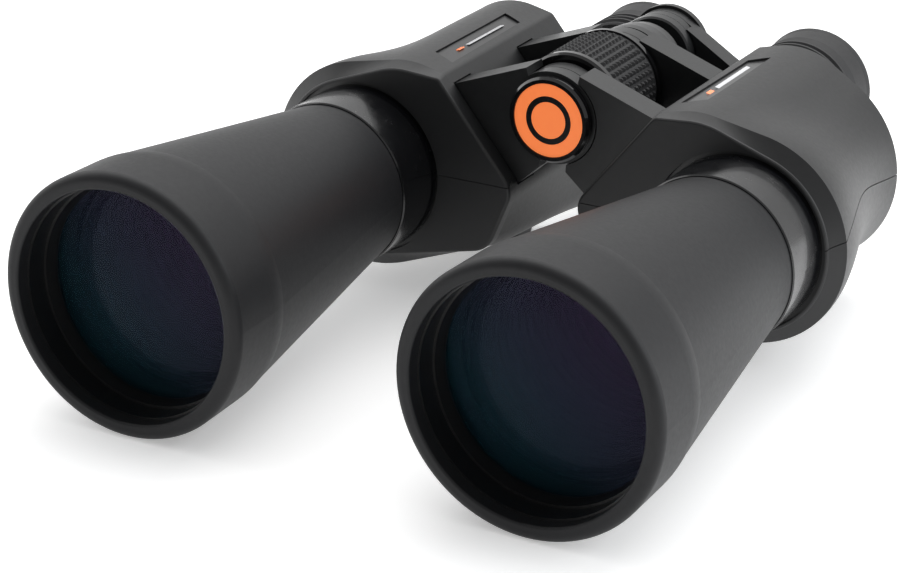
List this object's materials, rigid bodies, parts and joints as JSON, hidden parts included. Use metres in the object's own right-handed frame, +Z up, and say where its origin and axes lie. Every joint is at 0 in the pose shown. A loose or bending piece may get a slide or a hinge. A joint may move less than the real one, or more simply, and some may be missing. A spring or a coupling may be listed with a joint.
{
  "type": "astronomy binoculars",
  "caption": "Large Porro-prism binoculars with long flared barrels, centre focus wheel, eyepiece bridge, folding hinge and a capped tripod socket.",
  "frame": {"origin": "centre of the outline on the ground, under the middle of the hinge", "axes": "+Z up, -Y along the optical axes towards the objectives, +Y towards the eyecups, +X the user's left"},
  "size_m": [0.2198, 0.28, 0.0873],
  "materials": {
    "casting": "satin black glass-filled polycarbonate",
    "armour": "fine matte texture",
    "gloss_black": "polished",
    "badge_orange": "printed disc under clear lacquer",
    "plate": "fine satin",
    "baffle": "matt black, ribbed",
    "lens_cell": "matt anti-reflection black anodised",
    "coated_glass": "multi-coated",
    "prism_glass": "polished",
    "spring_steel": "bright",
    "eyepiece": "satin black anodised",
    "slide_metal": "smooth black anodised",
    "steel": "machined"
  },
  "bodies": {
    "right_half": {"prism_housing_right": "casting", "armour_upper_right": "armour", "armour_lower_right": "armour", "name_plate_right": "plate", "barrel_armour_right": "armour", "objective_tube_right": "lens_cell", "objective_cell_right": "lens_cell", "retaining_ring_right": "lens_cell", "objective_crown_right": "coated_glass", "objective_flint_right": "coated_glass", "baffle_tube_right": "baffle", "barrel_collar_right": "gloss_black", "prism_front_right": "prism_glass", "prism_rear_right": "prism_glass", "prism_clips_right": "spring_steel", "prism_shelf_right": "lens_cell", "rear_cover_right": "casting", "cover_screws_right": "spring_steel", "hinge_shaft": "steel", "hinge_tail": "casting"},
    "left_half": {"prism_housing_left": "casting", "armour_upper_left": "armour", "armour_lower_left": "armour", "name_plate_left": "plate", "barrel_armour_left": "armour", "objective_tube_left": "lens_cell", "objective_cell_left": "lens_cell", "retaining_ring_left": "lens_cell", "objective_crown_left": "coated_glass", "objective_flint_left": "coated_glass", "baffle_tube_left": "baffle", "barrel_collar_left": "gloss_black", "prism_front_left": "prism_glass", "prism_rear_left": "prism_glass", "prism_clips_left": "spring_steel", "prism_shelf_left": "lens_cell", "rear_cover_left": "casting", "cover_screws_left": "spring_steel"},
    "focus_wheel": {"focus_wheel": "gloss_black", "wheel_grip": "armour"},
    "bridge": {"bridge_hub": "casting", "focus_screw": "steel", "bridge_arm_right": "casting", "eye_tube_right": "slide_metal"},
    "left_eyepiece": {"bridge_arm_left": "casting", "eye_tube_left": "slide_metal", "eyepiece_ring_left": "eyepiece", "eye_body_left": "eyepiece", "eye_lenses_left": "coated_glass", "eyecup_left": "armour"},
    "dioptre_ring": {"dioptre_ring_right": "eyepiece"},
    "right_ocular": {"eye_body_right": "eyepiece", "eye_lenses_right": "coated_glass", "eyecup_right": "armour"},
    "tripod_cap": {"tripod_cap": "gloss_black", "cap_badge": "badge_orange"}
  },
  "joints": [
    {"name": "hinge_fold", "type": "hinge", "parent": "right_half", "child": "left_half", "pos_m": [0, 0.03, 0.069], "axis": [0, 1, 0], "range_deg": [-19, 18]},
    {"name": "focus_turn", "type": "hinge", "parent": "right_half", "child": "focus_wheel", "pos_m": [0, 0.03, 0.069], "axis": [0, 1, 0], "range_deg": [-120, 240]},
    {"name": "bridge_slide", "type": "slide", "parent": "right_half", "child": "bridge", "axis": [0, 1, 0], "range_m": [-0.004, 0.008]},
    {"name": "left_eyepiece_slide", "type": "slide", "parent": "left_half", "child": "left_eyepiece", "axis": [0, 1, 0], "range_m": [-0.004, 0.008]},
    {"name": "dioptre_turn", "type": "hinge", "parent": "bridge", "child": "dioptre_ring", "pos_m": [-0.0325, 0.103, 0.045], "axis": [0, 1, 0], "range_deg": [-60, 60]},
    {"name": "dioptre_slide", "type": "slide", "parent": "bridge", "child": "right_ocular", "axis": [0, 1, 0], "range_m": [-0.0018, 0.0018]},
    {"name": "cap_off", "type": "slide", "parent": "right_half", "child": "tripod_cap", "axis": [0, -1, 0], "range_m": [0, 0.14]}
  ],
  "couplings": [
    {"joint": "focus_turn", "follows": "bridge_slide", "rad_per_m": 523.6},
    {"joint": "left_eyepiece_slide", "follows": "bridge_slide", "ratio": 1},
    {"joint": "dioptre_turn", "follows": "dioptre_slide", "rad_per_m": 581.78}
  ]
}
